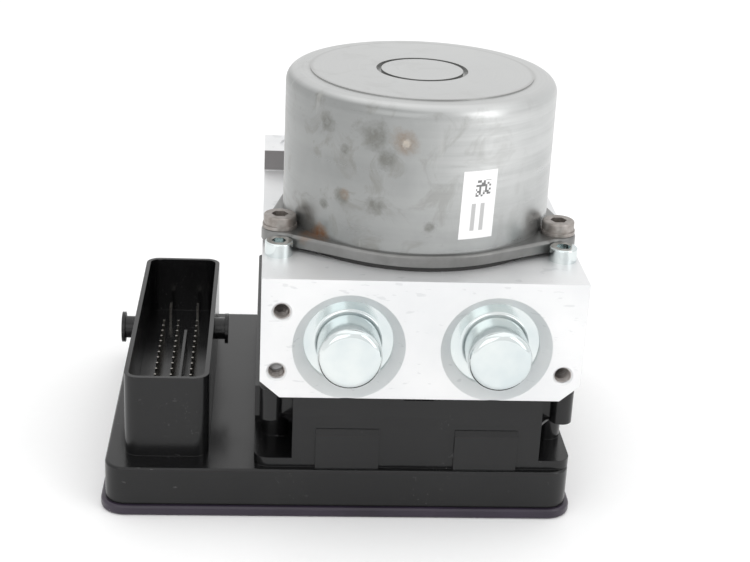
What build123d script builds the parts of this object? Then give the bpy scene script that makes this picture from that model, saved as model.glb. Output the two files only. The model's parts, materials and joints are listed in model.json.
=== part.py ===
from build123d import *
import os
from math import radians, tan

# ABS brake module: a machined hydraulic block with the pump motor on top and the control unit
# underneath. Millimetres. X runs to the right as seen from the accumulator side, Y runs away
# from it and Z runs up. The origin lies on the motor axis, on the underside of the unit's lid.

os.makedirs("parts", exist_ok=True)

# Clearances
press_gap = 0.02
running_gap = 0.05
seat_gap = 0.3

# Outline of the hydraulic block in plan, which the control unit and its frame follow
block_half_width = 48.2
block_front = 51.0
block_back = 68.0

# Control unit, seen in plan from the motor axis
unit_length = 143.0
axis_to_unit_right = block_half_width - 0.1
axis_to_unit_front = block_front + 0.1
unit_depth = axis_to_unit_front + block_back - 0.3
unit_corner_radius = 6.5
unit_wall = 2.5
lid_thickness = 3.3
lid_overhang = 1.4
lid_edge_radius = 0.9
box_height = 12.4
box_edge_radius = 0.8
deck_thickness = 3.0

# Frame that carries the hydraulic block
frame_left = block_half_width + 1.3
frame_right = block_half_width - 0.1
frame_front = block_front - 2.0
frame_back = block_back - 2.0
frame_height = 24.6
frame_wall = 3.0
frame_front_radius = 4.5
frame_back_radius = 2.0
column_width = 13.1
column_depth = 25.0
pocket_width = 10.1
pocket_depth = 24.0
pocket_floor = 3.0
pocket_height = 11.5
lug_depth = 5.6
lug_radius = 3.4
lug_lip = 0.9
slope_height = 7.3
slope_inset = 1.2
notch_width = 8.9
notch_height = 1.9
notch_depth = 1.6
tab_inner_x = 11.5
tab_outer_x = 30.9
tab_height = 13.3
tab_thickness = 1.0
tab_bevel = 0.7
tab_bevel_height = 1.8
seal_inset = 0.7
seal_width = 1.2
seal_depth = 1.2

# Connector shroud, set in from the unit's left edge and a little forward of its middle
shroud_margin = 5.6
shroud_forward = 2.25
shroud_length = 98.7
shroud_width = 25.8
shroud_height = 26.6
shroud_wall = 1.4
shroud_corner_radius = 4.5
shroud_floor_height = 6.8
shroud_floor_thickness = 2.5
rib_offset = 2.6
rib_thickness = 1.0
rib_length = 62.0
rib_height = 7.5
trunnion_height = 21.3
trunnion_radius = 3.6
trunnion_length = 3.4
trunnion_head_radius = 5.0
trunnion_head_thickness = 1.1
pin_row_offsets = (-5.4, -0.4, 5.9)
pins_per_row = 16
pin_pitch = 4.3
pin_margin = 6.4
pin_size = 0.64
pin_reach = 7.0
blade_offsets = (-4.1, 5.4)
blade_margin = 8.0
blade_width = 4.8
blade_thickness = 0.8
blade_reach = 5.4

# Circuit board and solenoid valves
board_margin = 1.0
board_thickness = 1.6
board_gap = 4.7
post_radius = 2.5
chip_size = 18.0
chip_height = 1.5
capacitor_radius = 4.0
capacitor_height = 3.6
valve_pitch_x = 22.0
valve_pitch_y = 23.0
valve_centre_y = 3.5
valve_columns = 4
valve_rows = 2
coil_radius = 9.2
coil_height = 16.0
coil_lift = 2.6
coil_flange = 1.2
coil_winding_inset = 1.0
yoke_thickness = 1.2
yoke_width = 12.0
lead_size = 0.8
lead_spacing = 5.0
dome_radius = 3.6
dome_wall = 0.7
dome_drop = 20.5
valve_radius = 5.0
valve_depth = 13.0
valve_collar_radius = 5.8
valve_collar_depth = 2.4
plunger_length = 13.0
plunger_stop_gap = 0.6
plunger_rod_radius = 1.2
plunger_rod_length = 4.0

# Hydraulic block
block_height = 38.1
block_chamfer_x = 6.0
block_chamfer_z = 5.2
block_chamfer_depth = 12.0
pad_height = 7.1
pad_depth = 19.0
pad_width = 28.0
drill_point_angle = 118.0
inlet_port_radius = 5.5
inlet_port_depth = 12.0
inlet_seat_radius = 8.5
inlet_seat_depth = 0.6
outlet_port_margin = 9.2
outlet_port_pitch = 25.0
outlet_port_height = 14.2
outlet_port_radius = 4.5
outlet_port_depth = 11.0
outlet_seat_radius = 7.5
outlet_seat_depth = 0.6
mount_hole_radius = 2.5
mount_chamfer_radius = 3.1
sealing_ball_radius = 2.5
sealing_ball_inset = 1.0
sealing_ball_places = ((-15.0, 12.0), (28.0, 25.5))

# Accumulators
accumulator_x = 22.0
accumulator_height = 16.6
accumulator_bore_radius = 12.0
accumulator_bore_depth = 27.0
accumulator_mouth_radius = 16.8
accumulator_mouth_depth = 3.6
accumulator_seat_depth = 5.6
cap_rim_radius = 13.45
cap_wall = 1.2
cap_cup_radius = 9.5
cap_cup_length = 14.0
cap_edge_radius = 2.4
cap_root_radius = 1.2
piston_length = 9.6
piston_recess_radius = 8.2
piston_recess_depth = 3.0
seal_section = 2.2
seal_groove_width = 2.6
spring_radius = 6.6
spring_wire = 1.4
spring_turns = 5

# Pump
chamber_radius = 11.5
chamber_drop = 20.4
pump_drop = 13.4
pump_bore_radius = 4.0
pump_guide_length = 10.5
pump_spring_bore_radius = 7.0
pump_piston_length = 16.5
pump_collar_radius = 6.2
pump_collar_thickness = 1.6
pump_plug_length = 12.0
plug_hex_size = 8.0
plug_hex_depth = 4.5
pump_spring_wire = 0.9
pump_spring_turns = 5
eccentric_offset = 1.25
eccentric_radius = 5.5
eccentric_ring_radius = 9.0
eccentric_ring_height = 8.0
eccentric_collar_radius = 6.8
eccentric_collar_thickness = 1.0

# Motor
gasket_thickness = 1.4
gasket_radius = 43.0
flange_thickness = 3.6
flange_radius = 43.6
flange_edge_radius = 1.0
ear_radius = 5.6
pilot_radius = 16.0
pilot_depth = 6.0
bearing_outer_radius = 11.0
bearing_height = 6.0
bearing_lip = 1.5
bearing_race_thickness = 1.9
bearing_ball_radius = 1.55
bearing_balls = 9
can_radius = 42.0
can_height = 45.2
can_wall = 1.8
can_edge_radius = 4.0
can_step_radius = 34.6
can_step_height = 0.35
boss_groove_radius = 14.2
boss_groove_width = 1.5
boss_groove_depth = 1.1
bush_radius = 8.0
bush_length = 6.0
bush_sleeve_wall = 1.8
magnet_count = 4
magnet_angle = 74.0
magnet_thickness = 7.2
magnet_height = 24.0
magnet_lift = 12.0
air_gap = 0.9
core_height = 18.0
core_slots = 10
core_slot_width = 4.2
core_slot_depth = 13.0
winding_overhang = 3.6
commutator_radius = 10.5
commutator_height = 7.0
commutator_lift = 3.2
commutator_bars = 20
commutator_slit = 0.5
shaft_radius = 4.0
brush_holder_radius = 38.0
brush_holder_thickness = 2.0
brush_holder_hole_radius = 14.0
brush_length = 9.0
brush_width = 5.0
brush_height = 5.6
brush_wall = 1.0
brush_guide_length = 21.0
brush_spring_wire = 0.6
brush_spring_turns = 5
terminal_y = 29.0
terminal_radius = 1.6
terminal_sleeve_radius = 4.5

# Screws
motor_screw_margin = 5.2
motor_screw_forward = 20.0
motor_screw_rear = 47.4
motor_screw_radius = 3.0
motor_screw_depth = 11.0
motor_head_radius = 4.95
motor_head_height = 4.0
motor_socket_size = 4.6
motor_washer_radius = 5.3
motor_washer_height = 1.1
unit_screw_front_margins = (5.0, 20.3)
unit_screw_rear_margins = (11.7, 27.5)
unit_screw_radius = 2.5
unit_screw_grip = 9.0
unit_head_radius = 4.25
unit_head_height = 4.3
unit_socket_size = 4.0
unit_front_column_radius = 4.2
unit_column_radius = 6.0
screw_hole_gap = 0.25
socket_depth = 2.2
head_edge_radius = 0.5

# Heights above the lid's underside
deck_z = lid_thickness + box_height
block_z = deck_z + frame_height
block_top_z = block_z + block_height
flange_z = block_top_z + gasket_thickness
can_z = flange_z + flange_thickness
can_top_z = can_z + can_height
accumulator_z = block_z + accumulator_height
pump_z = block_top_z - pump_drop
board_top_z = deck_z - deck_thickness - board_gap

# Places shared by several pieces
unit_centre = (axis_to_unit_right - unit_length / 2, unit_depth / 2 - axis_to_unit_front)
frame_width = frame_left + frame_right
frame_depth = frame_front + frame_back
frame_centre = ((frame_right - frame_left) / 2, (frame_back - frame_front) / 2)
column_inner_x = frame_right - column_width
pocket_inner_x = frame_right - pocket_width
shroud_x = axis_to_unit_right - unit_length + shroud_margin + shroud_width / 2
shroud_y = unit_centre[1] - shroud_forward
shroud_front = shroud_y - shroud_length / 2 + shroud_wall
shroud_back = shroud_y + shroud_length / 2 - shroud_wall
shroud_floor_z = deck_z + shroud_floor_height
pin_places = [
    (shroud_x + offset, shroud_front + pin_margin + pin_pitch * k)
    for offset in pin_row_offsets
    for k in range(pins_per_row)
]
blade_places = [(shroud_x + offset, shroud_back - blade_margin) for offset in blade_offsets]
outlet_port_x = [
    side * (block_half_width - outlet_port_margin - inward)
    for side, inward in ((-1, 0), (-1, outlet_port_pitch), (1, outlet_port_pitch), (1, 0))
]
mount_holes = (
    (-block_half_width + 6.1, 27.6, 12.0),
    (-block_half_width + 4.9, 8.4, 7.0),
    (block_half_width - 5.6, 8.4, 14.0),
)
motor_screw_x = block_half_width - motor_screw_margin
motor_screw_places = (
    (-motor_screw_x, -motor_screw_forward),
    (motor_screw_x, -motor_screw_forward),
    (0, motor_screw_rear),
)
unit_screw_x = block_half_width - unit_screw_front_margins[0]
unit_screw_y = -block_front + unit_screw_front_margins[1]
rear_unit_screw_x = block_half_width - unit_screw_rear_margins[0]
rear_unit_screw_y = block_back - unit_screw_rear_margins[1]
unit_screw_places = (
    (-unit_screw_x, unit_screw_y),
    (unit_screw_x, unit_screw_y),
    (-rear_unit_screw_x, rear_unit_screw_y),
    (rear_unit_screw_x, rear_unit_screw_y),
)
valve_places = [
    (valve_pitch_x * (i - (valve_columns - 1) / 2), valve_centre_y + valve_pitch_y * (j - 0.5))
    for j in range(valve_rows)
    for i in range(valve_columns)
]
coil_bottom_z = deck_z + coil_lift
coil_top_z = coil_bottom_z + coil_height
bearing_z = flange_z - pilot_depth + bearing_lip
core_radius = can_radius - can_wall - magnet_thickness - air_gap
magnet_z = can_z + magnet_lift
core_z = magnet_z + (magnet_height - core_height) / 2
commutator_z = can_z + commutator_lift
ring_reach = eccentric_offset + eccentric_ring_radius
sides = (("left", -1), ("right", 1))


def keep(piece, label):
    """Name a finished piece and write its own file."""
    piece.part.label = label
    export_step(piece.part, f"parts/{label}.step")


def room_outline(grow, mode=Mode.ADD):
    """The coil room in plan, grown by a margin: wide behind the front screw columns."""
    room_front = -frame_front + frame_wall + slope_inset
    room_step = -frame_front + column_depth
    room_back = frame_back - frame_wall
    with Locations((frame_centre[0], (room_step + room_back) / 2)):
        Rectangle(
            frame_width - 2 * frame_wall + 2 * grow, room_back - room_step + 2 * grow, mode=mode
        )
    with Locations((0, (room_front + room_step) / 2)):
        Rectangle(2 * column_inner_x + 2 * grow, room_step - room_front + 2 * grow, mode=mode)


def drill_point(radius, depth):
    """Cut the cone that a drill leaves below a hole's floor, at the current locations."""
    with Locations((0, 0, -depth)):
        Cone(
            0,
            radius,
            radius / tan(radians(drill_point_angle / 2)),
            align=(Align.CENTER, Align.CENTER, Align.MAX),
            mode=Mode.SUBTRACT,
        )


def coil_spring(start, direction, length, radius, wire, turns):
    """A helical spring that runs from start along a direction, with its wire inside the length."""
    rise = length - 2 * wire
    first_centre = Vector(*start) + Vector(*direction) * wire
    with BuildPart() as spring:
        with BuildLine() as path:
            Helix(rise / turns, rise, radius, center=first_centre, direction=direction)
        with BuildSketch(Plane(origin=path.line @ 0, z_dir=path.line % 0)):
            Circle(wire / 2)
        sweep(is_frenet=True)
    return spring


# Control unit: lid
with BuildPart() as ecu_lid:
    with BuildSketch():
        with Locations(unit_centre):
            RectangleRounded(
                unit_length + 2 * lid_overhang,
                unit_depth + 2 * lid_overhang,
                unit_corner_radius + lid_overhang,
            )
    extrude(amount=lid_thickness)
    fillet(ecu_lid.faces().sort_by(Axis.Z)[-1].edges(), lid_edge_radius)
    fillet(ecu_lid.faces().sort_by(Axis.Z)[0].edges(), lid_edge_radius)
keep(ecu_lid, "ecu_lid")

# Control unit: housing with its box, frame and connector shroud in one moulding
with BuildPart() as ecu_housing:
    with BuildSketch(Plane.XY.offset(lid_thickness)):
        with Locations(unit_centre):
            RectangleRounded(unit_length, unit_depth, unit_corner_radius)
    extrude(amount=box_height)
    fillet(ecu_housing.faces().sort_by(Axis.Z)[-1].edges(), box_edge_radius)

    # Frame under the block, with a front wall that leans back above its crease
    with BuildSketch(Plane.XY.offset(deck_z - deck_thickness)) as frame_outline:
        with Locations(frame_centre):
            Rectangle(frame_width, frame_depth)
        fillet(frame_outline.vertices().group_by(Axis.Y)[0], frame_front_radius)
        fillet(frame_outline.vertices().group_by(Axis.Y)[-1], frame_back_radius)
    extrude(amount=deck_thickness + frame_height)
    with BuildSketch(Plane.YZ.offset(-pocket_inner_x)):
        with BuildLine():
            Polyline(
                (-frame_front, block_z - slope_height),
                (-frame_front, block_z),
                (-frame_front + slope_inset, block_z),
                close=True,
            )
        make_face()
    extrude(amount=2 * pocket_inner_x, mode=Mode.SUBTRACT)
    with Locations((0, -frame_front, block_z)):
        Box(notch_width, 2 * notch_depth, 2 * notch_height, mode=Mode.SUBTRACT)

    # Tabs on the front wall, bevelled along the top
    for _, side in sides:
        with BuildSketch(Plane.YZ.offset(side * (tab_inner_x + tab_outer_x) / 2)):
            with BuildLine():
                Polyline(
                    (-frame_front + press_gap, deck_z),
                    (-frame_front - tab_thickness, deck_z),
                    (-frame_front - tab_thickness, deck_z + tab_height - tab_bevel_height),
                    (-frame_front - tab_thickness + tab_bevel, deck_z + tab_height),
                    (-frame_front + press_gap, deck_z + tab_height),
                    close=True,
                )
            make_face()
        extrude(amount=(tab_outer_x - tab_inner_x) / 2, both=True)

    # Pockets at the front corners, which run back round the screw columns, and are open above in front
    cut_width = frame_left - pocket_inner_x
    pocket_places = [side * (pocket_inner_x + cut_width / 2) for _, side in sides]
    with BuildSketch(Plane.XY.offset(deck_z + pocket_floor)):
        with Locations([(x, -frame_front + pocket_depth / 2) for x in pocket_places]):
            Rectangle(cut_width, pocket_depth)
    extrude(amount=pocket_height, mode=Mode.SUBTRACT)
    with BuildSketch(Plane.XY.offset(deck_z + pocket_floor)):
        with Locations([(x, -frame_front + lug_depth / 2) for x in pocket_places]):
            Rectangle(cut_width, lug_depth)
    extrude(amount=frame_height, mode=Mode.SUBTRACT)

    # Lug over each pocket: a round nose at the outer corner and a thin lip beside it
    lug_z = deck_z + pocket_floor + pocket_height
    lug_y = -frame_front + lug_depth
    with BuildSketch(Plane.XY.offset(lug_z)):
        with Locations([(side * (frame_right - lug_radius), lug_y) for _, side in sides]):
            Circle(lug_radius)
    extrude(amount=block_z - lug_z)
    with BuildSketch(Plane.XY.offset(lug_z)):
        for _, side in sides:
            with BuildLine():
                Polyline(
                    (side * (pocket_inner_x - press_gap), -frame_front + slope_inset),
                    (side * (frame_right - 2 * lug_radius), lug_y + press_gap),
                    (side * (pocket_inner_x - press_gap), lug_y + press_gap),
                    close=True,
                )
            make_face()
    extrude(amount=lug_lip)
    with BuildSketch(Plane.XY.offset(deck_z + pocket_floor - press_gap)):
        with Locations(unit_screw_places[:2]):
            Circle(unit_front_column_radius)
    extrude(amount=pocket_height + 2 * press_gap)

    # Room for the coils, which narrows between the front screw columns
    with BuildSketch(Plane.XY.offset(deck_z)):
        room_outline(0)
        with Locations(unit_screw_places[2:]):
            Circle(unit_column_radius, mode=Mode.SUBTRACT)
    extrude(amount=frame_height, mode=Mode.SUBTRACT)

    # Groove for the seal round the coil room
    with BuildSketch(Plane.XY.offset(block_z - seal_depth)):
        room_outline(seal_inset + seal_width)
        room_outline(seal_inset, Mode.SUBTRACT)
    extrude(amount=seal_depth, mode=Mode.SUBTRACT)

    # Connector shroud
    with BuildSketch(Plane.XY.offset(deck_z - deck_thickness)):
        with Locations((shroud_x, shroud_y)):
            RectangleRounded(shroud_width, shroud_length, shroud_corner_radius)
    extrude(amount=deck_thickness + shroud_height)
    with BuildSketch(Plane.XY.offset(shroud_floor_z)):
        with Locations((shroud_x, shroud_y)):
            RectangleRounded(
                shroud_width - 2 * shroud_wall,
                shroud_length - 2 * shroud_wall,
                shroud_corner_radius - shroud_wall,
            )
    extrude(amount=shroud_height - shroud_floor_height, mode=Mode.SUBTRACT)
    with BuildSketch(Plane.XY.offset(shroud_floor_z - press_gap)):
        with Locations((shroud_x + rib_offset, shroud_front + rib_length / 2 - press_gap)):
            Rectangle(rib_thickness, rib_length)
    extrude(amount=rib_height + press_gap)
    for _, side in sides:
        wall_x = shroud_x + side * (shroud_width / 2 - shroud_wall / 2)
        trunnion_run = trunnion_length + shroud_wall / 2
        with BuildSketch(Plane((wall_x, shroud_y, deck_z + trunnion_height), z_dir=(side, 0, 0))):
            Circle(trunnion_radius)
        extrude(amount=trunnion_run + trunnion_head_thickness)
        with BuildSketch(
            Plane((wall_x + side * trunnion_run, shroud_y, deck_z + trunnion_height), z_dir=(side, 0, 0))
        ):
            Circle(trunnion_head_radius)
        extrude(amount=trunnion_head_thickness)

    # Hollow underside of the box and of the shroud
    with BuildSketch(Plane.XY.offset(lid_thickness)):
        with Locations(unit_centre):
            RectangleRounded(
                unit_length - 2 * unit_wall, unit_depth - 2 * unit_wall, unit_corner_radius - unit_wall
            )
    extrude(amount=box_height - deck_thickness, mode=Mode.SUBTRACT)
    with BuildSketch(Plane.XY.offset(lid_thickness)):
        with Locations((shroud_x, shroud_y)):
            RectangleRounded(
                shroud_width - 2 * unit_wall, shroud_length - 2 * unit_wall, shroud_corner_radius - shroud_wall
            )
    extrude(
        amount=box_height + shroud_floor_height - shroud_floor_thickness, mode=Mode.SUBTRACT
    )

    # Posts that carry the circuit board
    post_x = unit_length / 2 - unit_wall - 2 * post_radius
    post_y = unit_depth / 2 - unit_wall - 2 * post_radius
    with BuildSketch(Plane.XY.offset(board_top_z)):
        with Locations(unit_centre):
            with GridLocations(2 * post_x, 2 * post_y, 2, 2):
                Circle(post_radius)
    extrude(amount=board_gap)

    # Passages for pins, blades, coil leads, the motor terminal and the screws
    lead_places = [
        (x + side * lead_spacing / 2, y) for x, y in valve_places for _, side in sides
    ]
    with BuildSketch(Plane.XY.offset(deck_z - deck_thickness)):
        with Locations(pin_places):
            Rectangle(pin_size, pin_size)
        with Locations(blade_places):
            Rectangle(blade_thickness, blade_width)
    extrude(amount=shroud_floor_height + deck_thickness, mode=Mode.SUBTRACT)
    with BuildSketch(Plane.XY.offset(deck_z - deck_thickness)):
        with Locations(lead_places):
            Rectangle(lead_size, lead_size)
        with Locations((0, terminal_y)):
            Circle(terminal_radius + screw_hole_gap)
    extrude(amount=deck_thickness, mode=Mode.SUBTRACT)
    for x, y in unit_screw_places:
        with Locations((x, y, block_z)):
            Hole(unit_screw_radius, unit_screw_grip)
keep(ecu_housing, "ecu_housing")

# Seal between the frame and the block
with BuildPart() as ecu_seal:
    with BuildSketch(Plane.XY.offset(block_z - seal_depth)):
        room_outline(seal_inset + seal_width)
        room_outline(seal_inset, Mode.SUBTRACT)
    extrude(amount=seal_depth)
keep(ecu_seal, "ecu_seal")

# Circuit board with its processor, drivers and capacitors soldered on
with BuildPart() as circuit_board:
    board_inset = unit_wall + board_margin
    with BuildSketch(Plane.XY.offset(board_top_z - board_thickness)):
        with Locations(unit_centre):
            Rectangle(unit_length - 2 * board_inset, unit_depth - 2 * board_inset)
    extrude(amount=board_thickness)
    fillet(circuit_board.edges().filter_by(Axis.Z), board_margin)
    with BuildSketch(Plane.XY.offset(board_top_z - board_thickness)):
        with Locations((-valve_pitch_x, valve_centre_y), (valve_pitch_x, valve_centre_y)):
            Rectangle(chip_size, chip_size)
        with Locations((0, valve_centre_y - 2 * chip_size), (0, valve_centre_y + 2 * chip_size)):
            Rectangle(chip_size, chip_size / 2)
    extrude(amount=-chip_height / 2)
    with BuildSketch(Plane.XY.offset(board_top_z)):
        with Locations((shroud_x + shroud_width, -unit_depth / 4), (shroud_x + shroud_width, unit_depth / 4)):
            Circle(capacitor_radius)
    extrude(amount=capacitor_height)
keep(circuit_board, "circuit_board")

# Connector pins and the two power blades
with BuildPart() as signal_pins:
    with BuildSketch(Plane.XY.offset(board_top_z)):
        with Locations(pin_places):
            Rectangle(pin_size, pin_size)
    extrude(amount=shroud_floor_z + pin_reach - board_top_z)
keep(signal_pins, "signal_pins")

with BuildPart() as power_blades:
    with BuildSketch(Plane.XY.offset(board_top_z)):
        with Locations(blade_places):
            Rectangle(blade_thickness, blade_width)
    extrude(amount=shroud_floor_z + blade_reach - board_top_z)
keep(power_blades, "power_blades")

# Valve coils: a wound bobbin with two leads down to the board
for number, (x, y) in enumerate(valve_places, start=1):
    with BuildPart() as valve_coil:
        with BuildSketch(Plane.XY.offset(coil_bottom_z)):
            with Locations((x, y)):
                Circle(coil_radius)
        extrude(amount=coil_height)
        with BuildSketch(Plane.XY.offset(coil_bottom_z + coil_flange)):
            with Locations((x, y)):
                Circle(coil_radius + coil_winding_inset)
                Circle(coil_radius - coil_winding_inset, mode=Mode.SUBTRACT)
        extrude(amount=coil_height - 2 * coil_flange, mode=Mode.SUBTRACT)
        with BuildSketch(Plane.XY.offset(board_top_z)):
            with Locations([(x + side * lead_spacing / 2, y) for _, side in sides]):
                Rectangle(lead_size, lead_size)
        extrude(amount=coil_bottom_z - board_top_z)
        with BuildSketch(Plane.XY.offset(coil_bottom_z + coil_flange)):
            with Locations((x, y)):
                Circle(dome_radius + running_gap)
        extrude(amount=coil_height, mode=Mode.SUBTRACT)
    keep(valve_coil, f"valve_coil_{number}")

# Steel yokes that close the magnetic circuit over each coil
with BuildPart() as coil_yokes:
    with Locations([(x, y, 0) for x, y in valve_places]):
        with Locations((0, 0, coil_top_z + yoke_thickness / 2)):
            Box(yoke_width, 2 * coil_radius + 2 * yoke_thickness, yoke_thickness)
        with Locations((0, coil_radius + yoke_thickness / 2 + press_gap, coil_bottom_z + coil_height / 2)):
            Box(yoke_width, yoke_thickness, coil_height + yoke_thickness)
        with Locations((0, -coil_radius - yoke_thickness / 2 - press_gap, coil_bottom_z + coil_height / 2)):
            Box(yoke_width, yoke_thickness, coil_height + yoke_thickness)
        with Locations((0, 0, coil_top_z + yoke_thickness / 2)):
            Cylinder(dome_radius + running_gap, 2 * yoke_thickness, mode=Mode.SUBTRACT)
keep(coil_yokes, "coil_yokes")

# Valve cartridges: a thin dome below the block, and a body pressed into it
dome_bottom_z = block_z - dome_drop
with BuildPart() as cartridge:
    with BuildSketch(Plane.XZ):
        with BuildLine():
            Polyline(
                (0, dome_bottom_z),
                (dome_radius, dome_bottom_z),
                (dome_radius, block_z),
                (valve_collar_radius, block_z),
                (valve_collar_radius, block_z + valve_collar_depth),
                (valve_radius, block_z + valve_collar_depth),
                (valve_radius, block_z + valve_depth),
                (0, block_z + valve_depth),
                close=True,
            )
        make_face()
    revolve(axis=Axis.Z)
    fillet(cartridge.edges().group_by(Axis.Z)[0], dome_wall)
    plunger_radius = dome_radius - dome_wall - running_gap
    plunger_room = plunger_length + plunger_stop_gap + plunger_rod_length
    with Locations((0, 0, dome_bottom_z + dome_wall + plunger_room / 2)):
        Cylinder(dome_radius - dome_wall, plunger_room, mode=Mode.SUBTRACT)
for row, name in enumerate(("inlet_valves", "outlet_valves")):
    with BuildPart() as valve_group:
        with Locations([(x, y, 0) for x, y in valve_places[row * valve_columns :][:valve_columns]]):
            add(cartridge.part)
    keep(valve_group, name)

# Valve plungers, which lift off their stops when the coil is fed
plunger_z = dome_bottom_z + dome_wall + plunger_stop_gap
for number, (x, y) in enumerate(valve_places, start=1):
    with BuildPart() as valve_plunger:
        with Locations((x, y, plunger_z + plunger_length / 2)):
            Cylinder(plunger_radius, plunger_length)
        fillet(valve_plunger.edges().group_by(Axis.Z)[0], dome_wall / 2)
        with Locations((x, y, plunger_z + plunger_length)):
            Cylinder(
                plunger_rod_radius,
                plunger_rod_length - plunger_stop_gap,
                align=(Align.CENTER, Align.CENTER, Align.MIN),
            )
    keep(valve_plunger, f"valve_plunger_{number}")

# Hydraulic block
with BuildPart() as valve_block:
    with BuildSketch(Plane.XZ.offset(block_front)):
        with Locations((0, block_z + block_height / 2)):
            Rectangle(2 * block_half_width, block_height)
    extrude(amount=-(block_front + block_back))
    with BuildSketch(Plane.XZ.offset(block_front)):
        for _, side in sides:
            with BuildLine():
                Polyline(
                    (side * (block_half_width - block_chamfer_x), block_z),
                    (side * block_half_width, block_z + block_chamfer_z),
                    (side * block_half_width, block_z),
                    close=True,
                )
            make_face()
    extrude(amount=-block_chamfer_depth, mode=Mode.SUBTRACT)
    for _, side in sides:
        with Locations((side * (block_half_width - pad_width / 2), block_back - pad_depth / 2, block_top_z)):
            Box(pad_width, pad_depth, pad_height, align=(Align.CENTER, Align.CENTER, Align.MIN))

    # Brake line ports
    for _, side in sides:
        inlet_x = side * (block_half_width - pad_width / 2)
        with Locations((inlet_x, block_back - pad_depth / 2, block_top_z + pad_height)):
            CounterBoreHole(inlet_port_radius, inlet_seat_radius, inlet_seat_depth, inlet_port_depth)
            drill_point(inlet_port_radius, inlet_port_depth)
    back_face = Plane((0, block_back, 0), x_dir=(1, 0, 0), z_dir=(0, 1, 0))
    for x in outlet_port_x:
        with Locations(back_face * Location((x, -(block_z + outlet_port_height), 0))):
            CounterBoreHole(
                outlet_port_radius, outlet_seat_radius, outlet_seat_depth, outlet_port_depth
            )
            drill_point(outlet_port_radius, outlet_port_depth)

    # Threaded mounting holes in the front face
    front_face = Plane((0, -block_front, 0), x_dir=(1, 0, 0), z_dir=(0, -1, 0))
    for x, height, depth in mount_holes:
        with Locations(front_face * Location((x, block_z + height, 0))):
            CounterSinkHole(mount_hole_radius, mount_chamfer_radius, depth)
            drill_point(mount_hole_radius, depth)

    # Accumulator bores
    for _, side in sides:
        bore_centre = (side * accumulator_x, accumulator_z, 0)
        with Locations(front_face * Location(bore_centre)):
            Hole(accumulator_bore_radius, accumulator_bore_depth)
            Hole(cap_rim_radius + press_gap, accumulator_seat_depth)
        with Locations(front_face * Location(bore_centre)):
            Cone(
                cap_rim_radius + press_gap,
                accumulator_mouth_radius,
                accumulator_mouth_depth,
                align=(Align.CENTER, Align.CENTER, Align.MAX),
                mode=Mode.SUBTRACT,
            )

    # Valve bores from below
    bottom_face = Plane((0, 0, block_z), x_dir=(1, 0, 0), z_dir=(0, 0, -1))
    for x, y in valve_places:
        with Locations(bottom_face * Location((x, -y, 0))):
            Hole(valve_radius + press_gap, valve_depth)
            Hole(valve_collar_radius + press_gap, valve_collar_depth)

    # Pump chamber on the motor axis and the two opposed pump bores
    with Locations((0, 0, block_top_z)):
        Hole(pilot_radius + press_gap, pilot_depth - gasket_thickness)
        Hole(chamber_radius, chamber_drop)
    spring_bore_start = chamber_radius + pump_guide_length
    for _, side in sides:
        side_face = Plane((side * block_half_width, 0, pump_z), z_dir=(side, 0, 0))
        with Locations(side_face):
            Hole(pump_bore_radius + running_gap, block_half_width)
            Hole(pump_spring_bore_radius, block_half_width - spring_bore_start)

    # Cross drillings in the side faces, closed by balls
    for _, side in sides:
        for y, height in sealing_ball_places:
            with Locations(Plane((side * block_half_width, y, block_z + height), z_dir=(side, 0, 0))):
                Hole(sealing_ball_radius, 2 * sealing_ball_radius + sealing_ball_inset)

    # Screw holes and the passage for the motor terminal
    for x, y in motor_screw_places:
        with Locations((x, y, block_top_z)):
            Hole(motor_screw_radius, motor_screw_depth)
    for x, y in unit_screw_places:
        with Locations((x, y, block_top_z)):
            Hole(unit_screw_radius + screw_hole_gap)
    with Locations((0, terminal_y, block_top_z)):
        Hole(terminal_sleeve_radius)
keep(valve_block, "valve_block")

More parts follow.
